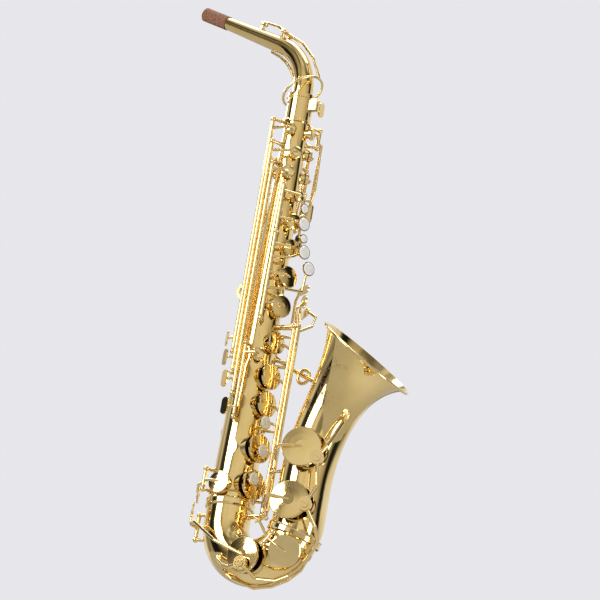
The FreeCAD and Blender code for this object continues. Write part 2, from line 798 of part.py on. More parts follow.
def make_lower_stack():
    """F sharp, F, E and D keys, open at rest, and the closed G sharp key above them."""
    rest = STACK_OPEN
    travel = (-STACK_OPEN, 0.0)
    low = LOWER_FACING
    stack_key("g_sharp_key", LOWER, (286.6, 309.0), 0.0, (0.0, STACK_OPEN),
              cup_and_arm(on_line(LOWER, 297.0), body_cup("g_sharp")) + g_sharp_touch())
    stack_key("f_sharp_key", LOWER, (322.6, 352.0), rest, travel,
              cup_and_arm(on_line(LOWER, 339.0), body_cup("f_sharp")))
    stalk = [on_line(LOWER, 389.0), stack_point(low, 35.5, 8.0, 393.0)]
    pearl = pearl_touch("f", low, 35.5, -5.0, 396.5, stalk)
    stack_key("f_key", LOWER, (352.4, 391.5), rest, travel,
              cup_and_arm(on_line(LOWER, 371.5), body_cup("f")) + pearl)
    cup = body_cup("e")
    stack_key("e_key", LOWER, (398.6, 444.0), rest, travel,
              cup_and_arm(on_line(LOWER, 424.0), cup)
              + pearl_touch("e", low, 36.0, -2.0, 429.0, [cup[0] + cup[1] * 5.2]))
    cup = body_cup("d")
    stack_key("d_key", LOWER, (444.4, 474.6), rest, travel,
              cup_and_arm(on_line(LOWER, 465.0), cup)
              + pearl_touch("d", low, 37.0, -9.0, 464.0, [cup[0] + cup[1] * 5.2]))


def g_sharp_touch():
    """The G sharp plate at the top of the little finger's table, and its arm around the table's end."""
    route = [on_line(LOWER, 290.0), vec(27.5, 30.0, -283.0), table_point(15.5, 256.0),
             table_point(16.0, 228.0), table_point(8.0, 219.0)]
    arm = limb(route, [1.8, 1.7, 1.6, 1.5, 1.4])
    return [arm, table_plate(0.0, 219.0, 26.0, 9.0)]


def side_line(swing):
    """Hinge line of a side key."""
    return line_at(SIDE_REACH, swing)


SIDE_KEYS = {
    # name: hinge swing, tube drops, touch drop, touch length
    "high_f_sharp": (-126.0, (37.0, 309.0), 296.0, 18.0),
    "high_e": (-112.0, (65.0, 335.0), 321.0, 19.0),
    "side_c": (-98.0, (91.0, 361.0), 348.0, 20.0),
    "side_b_flat": (-84.0, (308.0, 389.0), 381.5, 20.0),
}
SIDE_OPEN = 8.0


def make_side_keys():
    """Long-tubed keys worked by the side of the right hand; closed at rest."""
    for name, (swing, drops, touch_drop, touch_length) in SIDE_KEYS.items():
        line = side_line(swing)
        cup = body_cup(name)
        hinge = on_line(line, dim(name + "_hole_drop"))
        touch_dir = swing_dir(swing - 12.0)
        touch = polar(34.7, swing - 17.0, touch_drop)
        arm = limb([on_line(line, touch_drop), polar(33.5, swing - 8.0, touch_drop), touch + touch_dir * 0.6],
                   [1.9, 1.6, 1.4])
        solids = cup_and_arm(hinge, cup)
        solids.append(arm)
        solids.append(plate(touch, touch_dir, UP, touch_length, 8.5, 2.0))
        add_key(name + "_key", on_line(line, drops[1]), on_line(line, drops[0]), solids, 0.0, (-SIDE_OPEN, 0.0))


PALM_KEYS = {
    # name: hinge swing, tube drops, swing of the arm where it leaves and at the touch, touch drop
    "palm_f": (48.0, (36.0, 50.0), 60.0, 70.0, 127.0),
    "palm_e_flat": (80.0, (58.0, 74.0), 92.0, 98.0, 137.0),
    "palm_d": (76.0, (88.0, 103.5), 86.0, 84.0, 162.0),
}
PALM_OPEN = 8.0


def make_palm_keys():
    """High D, E flat and F keys worked by the left palm; closed at rest."""
    for name, (swing, drops, leave, reach, touch_drop) in PALM_KEYS.items():
        line = line_at(28.0, swing)
        cup = body_cup(name)
        solids = cup_and_arm(on_line(line, dim(name + "_hole_drop")), cup)
        start = on_line(line, drops[1] - 3.0)
        shoulder = polar(34.5, leave - 2.0, drops[1] - 2.5)
        top = polar(35.0, leave, drops[1] + 8.0)
        bottom = polar(37.5, reach, touch_drop - 9.0)
        touch = polar(37.0, reach, touch_drop)
        solids.append(limb([start, shoulder, top, bottom], [1.8, 1.7, 1.6, 1.5]))
        solids.append(plate(touch, swing_dir(reach), UP, 24.0, 10.0, 2.2))
        add_key(name + "_key", on_line(line, drops[1]), on_line(line, drops[0]), solids, 0.0, (0.0, PALM_OPEN))


FRONT_F_LINE = (10.2, 23.9)


def make_front_f():
    """Front F lever: a small pearl above the B key, and an arm up to the palm F key."""
    line = FRONT_F_LINE
    knob = stack_point(UPPER_FACING, 26.5, 6.0, 135.0)
    normal = swing_dir(UPPER_FACING)
    solids = [touch_dish(knob, normal, 5.2)]
    solids.append(limb([on_line(line, 135.0), polar(28.5, 32.0, 135.0), knob + normal * 0.3], [1.8, 1.5, 1.3]))
    rise = [on_line(line, 114.6), polar(33.5, 60.0, 114.0), polar(34.5, 52.0, 103.0), polar(33.5, 50.0, 64.0)]
    solids.append(limb(rise, [1.8, 1.6, 1.5, 1.2]))
    add_key("front_f_key", on_line(line, 140.0), on_line(line, 112.0), solids, 0.0, (-6.0, 0.0))


# The left little finger's table: plates that face a swing of 58 degrees.
TABLE_SWING = 58.0
TABLE_REACH = 42.0
LOW_OPEN = 7.0


def table_plate(aside, drop, length, width):
    """One plate of the table, aside along the table towards +Y."""
    normal = swing_dir(TABLE_SWING)
    along = swing_dir(TABLE_SWING + 90.0)
    centre = normal * TABLE_REACH + along * aside + vec(0, 0, -drop)
    return plate(centre, normal, along, length, width, 2.0)


def table_point(aside, drop):
    """Point inside a plate of the table."""
    return swing_dir(TABLE_SWING) * (TABLE_REACH + 0.8) + swing_dir(TABLE_SWING + 90.0) * aside + vec(0, 0, -drop)


def bell_cup_and_lever(name, route):
    """A low key's cup with its pad cup and the lever that reaches it along a route."""
    centre, normal, radius = BELL_CUPS[name]
    top = dim("cup_height") + dim("cup_dome")
    aside = route[-1] - centre
    aside = (aside - normal * aside.dot(normal)).normalize()
    shoulder = centre + normal * (top + 2.2) + aside * (radius + 3.0)
    knee = centre + normal * (top + 1.9) + aside * radius * 0.6
    middle = centre + normal * (top + 0.3)
    lever = limb(route + [shoulder, knee, middle], [1.9] * (len(route) + 1) + [1.7, 1.3])
    return [key_cup(centre + normal * dim("pad_gap"), normal, radius), lever]


def make_bell_keys():
    """Low B flat, B and C sharp: long tubes from the table down to the bell."""
    line = LOW_B_FLAT_LINE
    route = [on_line(line, 284.0), vec(56.0, 14.0, -272.0), vec(45.0, 31.0, -254.0), table_point(-11.0, 246.0)]
    touch = limb(route, [1.7, 1.6, 1.6, 1.5])
    add_key("low_b_flat_key", on_line(line, 445.0), on_line(line, 280.4),
            bell_cup_and_lever("low_b_flat", [on_line(line, 434.0)])
            + [touch, table_plate(0.0, 246.0, 26.0, 9.0)], -LOW_OPEN, (0.0, LOW_OPEN))

    line = LOW_B_LINE
    route = [on_line(line, 286.0), vec(34.5, 11.5, -284.0), vec(24.0, 23.5, -264.0),
             vec(15.6, 30.0, -241.0), table_point(6.5, 233.0)]
    touch = limb(route, [1.7, 1.6, 1.6, 1.6, 1.5])
    add_key("low_b_key", on_line(line, 496.0), on_line(line, 280.4),
            bell_cup_and_lever("low_b", [on_line(line, 490.0)])
            + [touch, table_plate(6.5, 232.0, 12.0, 11.0)], -LOW_OPEN, (0.0, LOW_OPEN))

    line = LOW_C_SHARP_LINE
    route = [on_line(line, 284.0), vec(38.0, 19.0, -272.0), vec(30.0, 26.0, -252.0),
             vec(27.0, 29.5, -240.0), table_point(-6.5, 234.0)]
    touch = limb(route, [1.7, 1.6, 1.6, 1.6, 1.5])
    push = limb([on_line(line, 493.0), vec(56.0, -8.0, -504.0), vec(62.0, -37.0, -520.0)], [1.8, 1.7, 1.5])
    add_key("low_c_sharp_lever", on_line(line, 496.0), on_line(line, 280.4),
            [touch, table_plate(-6.5, 232.0, 12.0, 11.0), push], 0.0, (0.0, 5.0))

    centre, normal, radius = BELL_CUPS["low_c_sharp"]
    start, end = low_c_sharp_hinge()
    middle = (start + end) * 0.5
    tail = limb([middle, vec(72.0, -46.0, -522.0), vec(63.0, -42.5, -517.0)], [1.8, 1.5, 1.4])
    add_key("low_c_sharp_key", start, end,
            [key_cup(centre + normal * dim("pad_gap"), normal, radius),
             arm_over(middle, centre, normal, radius), tail], 0.0, (-LOW_OPEN, 0.0))


def low_c_sharp_hinge():
    """Ends of the low C sharp key's hinge, beside its cup and in line with the bow."""
    centre, normal, radius = BELL_CUPS["low_c_sharp"]
    along = bow_station(LOW_C_SHARP_TURN)[1]
    aside = normal.cross(along)
    if aside.y > 0:
        aside = aside * -1
    middle = centre + aside * (radius + 5.0) - along * 1.6
    return middle - along * 5.5, middle + along * 5.5


LOW_C_LINE = (-34.0, -6.0)
E_FLAT_LINE = (-21.5, -27.5)
LOW_C_OPEN = 4.0
E_FLAT_OPEN = 9.0


def make_little_finger_keys():
    """E flat and low C keys of the right little finger."""
    line = E_FLAT_LINE
    touch_dir = swing_dir(207.0)
    touch = polar(36.0, 207.0, 480.0)
    route = [on_line(line, 469.0), polar(39.0, 222.0, 471.0), polar(38.2, 213.0, 477.0), touch + touch_dir * 0.8]
    arm = limb(route, [1.8, 1.7, 1.6, 1.4])
    solids = cup_and_arm(on_line(line, 466.0), body_cup("e_flat"))
    solids += [arm, plate(touch, touch_dir, UP, 18.0, 14.0, 2.2)]
    add_key("e_flat_key", on_line(line, 473.0), on_line(line, 456.0), solids, 0.0, (-E_FLAT_OPEN, 0.0))

    line = LOW_C_LINE
    touch_dir = swing_dir(222.0)
    touch = polar(38.2, 222.0, 501.0)
    bend = polar(38.7, 222.0, 515.0)
    route = [on_line(line, 514.0), polar(38.5, 205.0, 514.0), bend, vec(-12.0, -41.0, -520.0),
             vec(22.0, -43.5, -544.0)]
    stalk = limb([bend, touch + touch_dir * 1.0], [1.9, 1.5])
    solids = bell_cup_and_lever("low_c", route)
    solids += [stalk, plate(touch, touch_dir, UP, 18.0, 14.0, 2.2)]
    add_key("low_c_key", on_line(line, 525.0), on_line(line, 503.0), solids, -LOW_C_OPEN, (0.0, LOW_C_OPEN))


OCTAVE_LINE = (-20.8, 12.0)
BODY_OCTAVE_LINE = (-20.4, -9.5)
OCTAVE_PRESS = 5.0


def make_octave_keys():
    """Thumb lever, body octave key and neck octave key."""
    line = OCTAVE_LINE
    touch_dir = swing_dir(184.0)
    touch = polar(27.0, 184.0, 113.0)
    arm = limb([on_line(line, 110.0), polar(28.5, 168.0, 112.0), touch + touch_dir * 0.6], [1.8, 1.6, 1.4])
    route = [on_line(line, 66.5), polar(29.5, 145.0, 65.5), polar(29.0, 141.0, 50.0),
             polar(21.5, 131.0, 12.0), polar(18.2, 130.0, 5.0), polar(18.2, 130.0, -3.5)]
    pin = limb(route, [1.8, 1.6, 1.5, 1.4, 1.2, 1.2])
    add_key("octave_lever", on_line(line, 124.0), on_line(line, 63.0),
            [arm, pin, plate(touch, touch_dir, UP, 19.0, 11.0, 2.0)], 0.0, (0.0, OCTAVE_PRESS))

    line = BODY_OCTAVE_LINE
    add_key("body_octave_key", on_line(line, 92.0), on_line(line, 80.0),
            cup_and_arm(on_line(line, 86.0), body_cup("body_octave")), 0.0, (0.0, 6.0))

    hinge = neck_hinge()
    side = vec(0, 1, 0)
    ring_centre = vec(0.3, 0, 8.0)
    tilt = math.radians(38.0)
    ring = Part.makeTorus(24.0, 1.4, ring_centre, vec(-math.sin(tilt), 0, math.cos(tilt)))
    rim = ring_centre + vec(24.0 * math.cos(tilt), 0, 24.0 * math.sin(tilt))
    back = [rim, neck_outside(24.0, 8.0), neck_outside(42.0, 6.0), neck_outside(62.0, 5.0), hinge]
    pad_point = neck_outside(PIP_RUN, 4.15)
    pad_dir = (neck_outside(PIP_RUN, 5.0) - neck_outside(PIP_RUN, 4.0)).normalize()
    front = [hinge, neck_outside(PIP_RUN - 20.0, 9.5), pad_point + pad_dir * 4.8]
    add_key("neck_octave_key", hinge - side * 5.0, hinge + side * 5.0,
            [ring, limb(back, [1.6, 1.6, 1.7, 1.7, 1.9]), limb(front, [1.9, 1.6, 1.2]),
             key_cup(pad_point + pad_dir * 0.2, pad_dir, 4.6)], 0.0, (0.0, 2.8))


def neck_hinge():
    """Middle of the neck key's hinge, above the end of the neck's bend."""
    return neck_outside(PIP_RUN - 36.0, 5.2)


# ---------------------------------------------------------------- posts and rods

def post(base, reach, head, axis):
    """Pillar from a tube's surface to a rod: base is a point on the tube's centre line."""
    direction = (head - base).normalize()
    sink = 1.6
    foot = Part.makeCylinder(dim("post_foot_radius"), sink + 1.1, base + direction * (reach - sink), direction)
    length = (head - base).Length - reach + sink
    shank = Part.makeCone(2.3, 1.5, length, base + direction * (reach - sink), direction)
    return fuse([foot, shank, Part.makeSphere(dim("post_ball_radius"), head)])


def rod_bore(point, axis, length=30.0):
    """Drill for a rod through a post."""
    return Part.makeCylinder(dim("rod_radius") + dim("running_gap"), length, point - axis * length / 2.0, axis)


def body_seat():
    """The body tube's outside, a hair larger, to trim what stands on it."""
    gap = dim("seat_gap")
    height = dim("body_end_drop") - dim("body_top_drop")
    return Part.makeCone(dim("body_end_radius") + gap, dim("body_top_radius") + gap, height,
                         vec(0, 0, -dim("body_end_drop")), UP)


def bow_seat():
    """The bow's outside and its two chimneys, a hair larger."""
    gap = dim("seat_gap")
    solids = [bow_core(gap)]
    for name in ("low_c_sharp", "low_c"):
        centre, normal, radius = BELL_CUPS[name]
        solids.append(chimney(centre, normal, radius + gap, 12.0)[0])
    return fuse(solids)


SEATS = {"body": body_seat(), "bow": bow_seat(), "bell": bell_core(dim("seat_gap")),
         "receiver": Part.makeCylinder(dim("receiver_radius") + 0.75, dim("receiver_length") + 0.05,
                                       vec(0, 0, -dim("receiver_length") - 0.05), UP)}


def body_posts(group, line, drops):
    """Posts for an upright rod at several drops of the body tube."""
    for drop in drops:
        head = on_line(line, drop)
        on_receiver = drop < dim("receiver_length") + dim("post_foot_radius")
        reach = dim("receiver_radius") + 0.7 if on_receiver else body_radius(drop)
        pillar = post(vec(0, 0, -drop), reach, head, UP)
        POSTS[group].append(pillar.cut(fuse([SEATS["body"], SEATS["receiver"], rod_bore(head, UP)])))


def add_rod(start, end):
    """Steel rod from the outer face of one post to the outer face of the other."""
    ROD_LINES.append((start, end))


def upright_rod(line, top, bottom):
    """Upright rod between its end posts."""
    half = dim("post_ball_radius") - 0.3
    add_rod(on_line(line, bottom + half), on_line(line, top - half))


def bracket(lines, drop, seat, base, reach):
    """One pillar group that carries several rods side by side."""
    pillars = []
    bores = [SEATS[seat]]
    for line in lines:
        head = on_line(line, drop)
        pillars.append(post(base, reach, head, UP))
        bores.append(rod_bore(head, UP))
    return fuse(pillars).cut(fuse(bores))


def make_posts():
    """Every post and the rods that they carry."""
    body_posts("stack_posts", UPPER, (112.0, 170.5, 274.5))
    upright_rod(UPPER, 112.0, 274.5)
    body_posts("stack_posts", LOWER, (283.0, 312.5))
    upright_rod(LOWER, 283.0, 312.5)
    body_posts("stack_posts", LOWER, (319.2, 395.0, 478.0))
    upright_rod(LOWER, 319.2, 478.0)
    for swing, drops, _, _ in SIDE_KEYS.values():
        ends = (drops[0] - 3.5, drops[1] + 3.5)
        body_posts("side_key_posts", side_line(swing), ends)
        upright_rod(side_line(swing), ends[0], ends[1])
    for swing, drops, _, _, _ in PALM_KEYS.values():
        ends = (drops[0] - 3.5, drops[1] + 3.5)
        body_posts("side_key_posts", line_at(28.0, swing), ends)
        upright_rod(line_at(28.0, swing), ends[0], ends[1])
    for line, ends in ((FRONT_F_LINE, (108.5, 143.5)), (OCTAVE_LINE, (59.5, 127.5)),
                       (BODY_OCTAVE_LINE, (76.5, 95.5)), (E_FLAT_LINE, (452.5, 476.5))):
        body_posts("side_key_posts", line, ends)
        upright_rod(line, ends[0], ends[1])

    group = POSTS["bell_key_posts"]
    lines = (LOW_B_FLAT_LINE, LOW_B_LINE, LOW_C_SHARP_LINE)
    group.append(bracket(lines, 276.8, "body", vec(0, 0, -276.8), body_radius(276.8)))
    upright_rod(LOW_B_FLAT_LINE, 276.8, 448.6)
    bell_side = vec(dim("bow_offset"), 0, -448.6)
    group.append(bracket((LOW_B_FLAT_LINE,), 448.6, "bell", bell_side, 30.0))
    pair = (LOW_B_LINE, LOW_C_SHARP_LINE)
    group.append(bracket(pair, 499.6, "bow", vec(0, 0, -499.6), dim("body_end_radius")))
    upright_rod(LOW_B_LINE, 276.8, 499.6)
    upright_rod(LOW_C_SHARP_LINE, 276.8, 499.6)
    for drop in (499.5, 528.5):
        sine = (drop - BOW_CENTRE_DROP) * 2.0 / dim("bow_offset")
        station = bow_station(max(0.0, math.degrees(math.asin(sine))))
        base = vec(station[0].x, 0, -drop) if drop > BOW_CENTRE_DROP else vec(0, 0, -drop)
        group.append(bracket((LOW_C_LINE,), drop, "bow", base, station[2]))
    upright_rod(LOW_C_LINE, 499.5, 528.5)
    start, end = low_c_sharp_hinge()
    along = (end - start).normalize()
    for point, sign in ((start, -1), (end, 1)):
        head = point + along * 3.4 * sign
        base = bow_axis_near(head)
        pillar = post(base, bow_station(LOW_C_SHARP_TURN)[2] - 0.5, head, along)
        group.append(pillar.cut(fuse([SEATS["bow"], rod_bore(head, along)])))
    add_rod(start - along * 6.2, end + along * 6.2)
    for name, pillars in POSTS.items():
        feature(name, Part.makeCompound(pillars))
    hinge = neck_hinge()
    side = vec(0, 1, 0)
    saddles = []
    for sign in (-1, 1):
        head = hinge + side * 8.4 * sign
        base, direction, radius = neck_station(PIP_RUN - 36.0)
        saddles.append(post(base, radius - 0.8, head, side))
    seat = tube_along(stations_of(neck_station, 40.0, neck_length() - 40.0, 14, dim("seat_gap")))
    shape = fuse(saddles).cut(fuse([seat, rod_bore(hinge, side, 60.0)]))
    feature("neck_key_saddle", shape)
    add_rod(hinge - side * 11.2, hinge + side * 11.2)
    rods = []
    for start, end in ROD_LINES:
        rods.append(Part.makeCylinder(dim("rod_radius"), (end - start).Length, start, end - start))
    feature("hinge_rods", Part.makeCompound(rods))


def bow_axis_near(point):
    """Nearest point of the bow's centre line."""
    centre = vec(dim("bow_offset") / 2.0, 0, -BOW_CENTRE_DROP)
    spoke = vec(point.x, 0, point.z) - centre
    return centre + spoke.normalize() * (dim("bow_offset") / 2.0)


# ---------------------------------------------------------------- fittings

def make_strap_ring():
    """Plate ring on the back of the body, its hole across the body."""
    drop = dim("strap_ring_drop")
    hole = dim("strap_ring_hole")
    outer = hole + dim("strap_ring_band")
    half = dim("strap_ring_plate") / 2.0
    centre = vec(-RING_REACH, 0, -drop)
    side = vec(0, 1, 0)
    ring = Part.makeCylinder(outer, half * 2, centre - side * half, side)
    surface = body_radius(drop)
    neck_box = Part.makeBox(9.0, half * 2, 12.0, vec(-surface - 7.5, -half, -drop - 6.0))
    base = Part.makeBox(3.2, 12.0, 30.0, vec(-surface - 1.4, -6.0, -drop - 15.0))
    bore = Part.makeCylinder(hole, half * 4, centre - side * half * 2, side)
    feature("strap_ring", fuse([ring, neck_box, base]).cut(fuse([bore, SEATS["body"]])))


def make_thumb_hook():
    """Right-hand thumb hook: a plate with a curved horn, open towards the hand."""
    drop = dim("thumb_hook_drop")
    surface = body_radius(drop)
    base = Part.makeBox(3.4, 16.0, 26.0, vec(-surface - 1.6, -8.0, -drop - 13.0))
    root = vec(-surface - 1.5, 0, -drop + 5.0)
    horn = limb([root, vec(-surface - 12.0, 0, -drop + 7.5), vec(-surface - 20.0, 0, -drop + 4.0),
                 vec(-surface - 23.5, 0, -drop - 4.0), vec(-surface - 22.5, 0, -drop - 12.0)],
                [3.4, 3.3, 3.0, 2.7, 2.4])
    screw = Part.makeCylinder(3.0, 3.5, vec(-surface - 1.6, 0, -drop - 8.0), vec(-1, 0, 0))
    hook = fuse([base, horn, screw]).cut(SEATS["body"])
    hook.rotate(AXIS_POINT, UP, dim("thumb_hook_swing") - 180.0)
    feature("thumb_hook", hook)


def make_thumb_rest():
    """Domed button for the left thumb."""
    drop = dim("thumb_rest_drop")
    surface = body_radius(drop)
    centre = vec(-surface - 3.6, 0, -drop - 12.0)
    back = vec(-1, 0, 0)
    radius = dim("thumb_rest_radius")
    button = turned(dome_profile(radius, 0.0, 1.4, 3.4), centre, back)
    pillar = Part.makeCylinder(5.0, 6.0, centre - back * 5.5, back)
    feature("thumb_rest", fuse([button, pillar]).cut(SEATS["body"]))


def make_bell_brace():
    """Stay between body and bell with a foot on each."""
    body_foot = polar(body_radius(303.0) - 0.6, 62.0, 303.0)
    run = bell_at_drop(360.0)
    point, direction, radius = bell_station(run)
    inward = (vec(-direction.z, 0, direction.x) * 0.96 + vec(0, 0.28, 0)).normalize()
    bell_foot = point + inward * (radius - 0.6)
    start_dir = polar(1, 62.0, 0)
    bar = limb([body_foot, body_foot + start_dir * 11.0 + vec(0, 0, -4.0), vec(42.0, 27.0, -322.0),
                bell_foot + inward * 9.0 + vec(0, 7.0, 0), bell_foot], [2.6, 2.4, 2.4, 2.4, 2.6])
    feet = [Part.makeCylinder(7.5, 2.4, body_foot - start_dir * 0.8, start_dir),
            Part.makeCylinder(8.5, 2.6, bell_foot - inward * 1.0, inward)]
    ring = Part.makeTorus(8.0, 2.0, vec(50.0, 25.5, -327.0), vec(0.12, 1, 0))
    feature("bell_brace", fuse([bar, ring] + feet).cut(fuse([SEATS["body"], SEATS["bell"]])))


# Rings of the key guard: offsets from a cup's centre along its tube, across it, and out from its pad.
GUARD_RINGS = {
    "low_b_flat": (-12.0, 13.0, 16.3),
    "low_b": (-6.0, 13.5, 16.7),
    "low_c": (0.0, 10.0, 16.2),
}
GUARD_RING_RADIUS = 8.0
GUARD_FOOT_RADIUS = 4.4


def guard_ring_centre(name):
    """Middle of the guard's ring over a cup."""
    centre, normal, radius = BELL_CUPS[name]
    down, across, lift = GUARD_RINGS[name]
    along = vec(1, 0, 0) if name == "low_c" else UP
    along = (along - normal * along.dot(normal)).normalize()
    side = along.cross(normal) if name == "low_c" else normal.cross(along) * -1
    return centre + along * down + side * across + normal * lift


def bow_lift(turn, lean, lift):
    """Point lifted off the bow's outside."""
    return bow_point(turn, lean, bow_station(turn)[2] + lift)


def guard_bars():
    """The guard's bars, each a list of points and a radius at each of them."""
    flat_ring = guard_ring_centre("low_b_flat")
    b_ring = guard_ring_centre("low_b")
    c_ring = guard_ring_centre("low_c")
    bell_bar = [bell_point(378.0, -20.0, 0.5), bell_point(388.0, -24.0, 7.0), bell_point(405.0, -32.0, 14.0),
                bell_point(425.0, -40.0, 20.0), flat_ring]
    middle_bar = [flat_ring, bell_point(462.0, -44.0, 20.5), bell_point(478.0, -41.0, 20.0), b_ring]
    bow_bar = [b_ring, bow_lift(171.0, 32.0, 16.0), bow_lift(164.0, 14.0, 10.0), bow_lift(156.0, 8.0, 7.0),
               bow_lift(147.0, 6.0, 5.0), bow_lift(137.0, 6.0, 5.0), bow_lift(127.0, 12.0, 6.5),
               bow_lift(118.0, 26.0, 13.0), bow_lift(110.0, 46.0, 25.0), c_ring]
    end_bar = [c_ring, bow_lift(86.0, 66.0, 20.5), bow_lift(74.0, 66.0, 14.5), bow_lift(62.0, 66.0, 7.0),
               bow_lift(54.0, 67.0, 0.5)]
    edge_bar = [bow_lift(66.0, 36.0, 0.5), bow_lift(76.0, 32.0, 3.0), bow_lift(93.0, 4.0, 3.0),
                bow_lift(108.0, -5.0, 3.0), bow_lift(122.0, -12.0, 3.0), bow_lift(136.0, -14.0, 3.0),
                bow_lift(148.0, -10.0, 0.5)]
    return ((bell_bar, 2.2), (middle_bar, 2.2), (bow_bar, 2.2), (end_bar, 2.2), (edge_bar, 1.7))


def guard_feet():
    """Round feet of the guard where its bars reach the bell and the bow: point and direction."""
    return ((bell_point(378.0, -20.0, 0.0), bell_normal(378.0, -20.0)),
            (bow_lift(147.0, 6.0, 0.0), bow_normal(147.0, 6.0)),
            (bow_lift(54.0, 67.0, 0.0), bow_normal(54.0, 67.0)),
            (bow_lift(66.0, 36.0, 0.0), bow_normal(66.0, 36.0)),
            (bow_lift(148.0, -10.0, 0.0), bow_normal(148.0, -10.0)))


def make_key_guard():
    """One cast guard that winds past the low keys, with felt bumpers on screws in its rings."""
    solids = []
    for points, radius in guard_bars():
        solids.append(limb(points, [radius] * len(points)))
    for point, direction in guard_feet():
        solids.append(Part.makeCylinder(GUARD_FOOT_RADIUS, 3.0, point - direction * 1.2, direction))
    solids.append(limb([bow_lift(147.0, 6.0, 0.0), bow_lift(147.0, 6.0, 5.0)], [2.2, 2.2]))
    bores = [SEATS["bow"], SEATS["bell"]]
    bumpers = []
    for name in GUARD_RINGS:
        normal = BELL_CUPS[name][1]
        centre = guard_ring_centre(name)
        solids.append(Part.makeCylinder(GUARD_RING_RADIUS, 4.4, centre - normal * 2.2, normal))
        bores.append(Part.makeCylinder(4.85, 12.0, centre - normal * 6.0, normal))
        low = centre - normal * 3.6
        felt = Part.makeCylinder(4.6, 1.4, low, normal)
        screw = Part.makeCylinder(4.8, 5.6, low + normal * 1.4, normal)
        slot = Part.makeBox(12.0, 1.0, 2.0, vec(-6.0, -0.5, 0))
        slot.Placement = FreeCAD.Placement(low + normal * 6.0, FreeCAD.Rotation(UP, normal))
        bumpers.append(fuse([felt, screw]).cut(slot))
    feature("key_guard", fuse(solids).cut(fuse(bores)))
    feature("guard_bumpers", Part.makeCompound(bumpers))


# ---------------------------------------------------------------- pads and pearls

def make_pads():
    """Pads of the low B flat, B and C keys, in their cups."""
    for name in ("low_b_flat", "low_b", "low_c"):
        centre, normal, radius = BELL_CUPS[name]
        disc = turned([(0, 0), (radius - dim("cup_wall") - 1.0, 0), (radius - dim("cup_wall") - 0.15, 0.9),
                       (radius - dim("cup_wall") - 0.15, dim("pad_thickness")), (0, dim("pad_thickness"))],
                      centre + normal * dim("pad_gap"), normal)
        feature(name + "_pad", disc, KEYS[name + "_key"]["turn"])


def make_pearls():
    """Mother-of-pearl buttons of the six main touches."""
    for name, (centre, normal) in PEARLS.items():
        seat = FreeCAD.Placement(centre + normal * 1.55, FreeCAD.Rotation(UP, normal))
        revolved_body(name + "_pearl",
                      [("0", "0"), ("pearl_radius", "0"), ("pearl_radius", "pearl_height - 1.1"),
                       ("pearl_radius - 1.2", "pearl_height - 0.3"), ("0", "pearl_height")],
                      KEYS[name + "_key"]["turn"].multiply(seat))


# ---------------------------------------------------------------- build, check and write

def build():
    """Makes every sub-part."""
    make_body_tube()
    make_bow()
    make_bell()
    make_rim_wire()
    make_ferrules()
    make_receiver()
    make_clamp_screw()
    make_neck()
    make_upper_stack()
    make_lower_stack()
    make_side_keys()
    make_palm_keys()
    make_front_f()
    make_bell_keys()
    make_little_finger_keys()
    make_octave_keys()
    make_posts()
    make_strap_ring()
    make_thumb_hook()
    make_thumb_rest()
    make_bell_brace()
    make_key_guard()
    make_pads()
    make_pearls()


def check():
    """Stops with the names of anything that failed or came out empty or broken."""
    doc.recompute()
    problems = []
    for obj in doc.Objects:
        if "Invalid" in obj.State or "Error" in obj.State:
            problems.append("%s: %s" % (obj.Name, ", ".join(obj.State)))
    for obj in PARTS:
        if obj.Shape.isNull() or not obj.Shape.isValid():
            problems.append("%s: null or not valid" % obj.Label)
        if not obj.Shape.Solids:
            problems.append("%s: no solid" % obj.Label)
    if problems:
        raise RuntimeError("; ".join(problems))


def write():
    """Writes one STEP file for each sub-part."""
    os.makedirs("parts", exist_ok=True)
    for obj in PARTS:
        obj.Shape.exportStep("parts/%s.step" % obj.Label)


build()
check()
write()
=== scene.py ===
import json
import math
import random

import bpy
from mathutils import Matrix, Vector


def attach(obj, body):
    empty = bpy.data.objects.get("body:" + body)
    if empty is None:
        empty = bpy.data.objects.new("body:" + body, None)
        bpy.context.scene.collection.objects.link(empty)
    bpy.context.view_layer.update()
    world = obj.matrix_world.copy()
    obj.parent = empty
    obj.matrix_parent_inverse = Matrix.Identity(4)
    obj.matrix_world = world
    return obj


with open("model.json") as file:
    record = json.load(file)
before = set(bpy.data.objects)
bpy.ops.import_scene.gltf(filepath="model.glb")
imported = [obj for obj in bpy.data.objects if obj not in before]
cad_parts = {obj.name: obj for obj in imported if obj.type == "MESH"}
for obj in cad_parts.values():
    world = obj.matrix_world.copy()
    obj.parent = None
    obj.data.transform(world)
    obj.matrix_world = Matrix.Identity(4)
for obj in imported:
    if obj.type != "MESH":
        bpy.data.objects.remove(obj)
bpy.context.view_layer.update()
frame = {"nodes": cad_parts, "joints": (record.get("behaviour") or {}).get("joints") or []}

MM = 0.001
NODES = frame["nodes"]
JOINTS = {joint["child"]: joint for joint in frame["joints"]}

# ---------------------------------------------------------------- sizes shared with the part, in mm
# Drawing axes: z = -drop from the receiver's top, the body's axis at x = y = 0.
RING_DROP, RING_HOLE_R, RING_BAND, RING_STANDOFF = 232.0, 6.5, 3.2, 2.0
BODY_TOP, BODY_END = 24.0, 488.0
BODY_TOP_R, BODY_END_R = 13.4, 25.5
CHIMNEY = 3.5
CUP_WALL, PAD_GAP, PAD_THICK, PAD_PLAY = 0.8, 0.15, 3.2, 0.15


def body_radius(drop):
    """Outside radius of the body tube at a drop."""
    return BODY_TOP_R + (drop - BODY_TOP) / (BODY_END - BODY_TOP) * (BODY_END_R - BODY_TOP_R)


RING_REACH = body_radius(RING_DROP) + RING_HOLE_R + RING_BAND + RING_STANDOFF

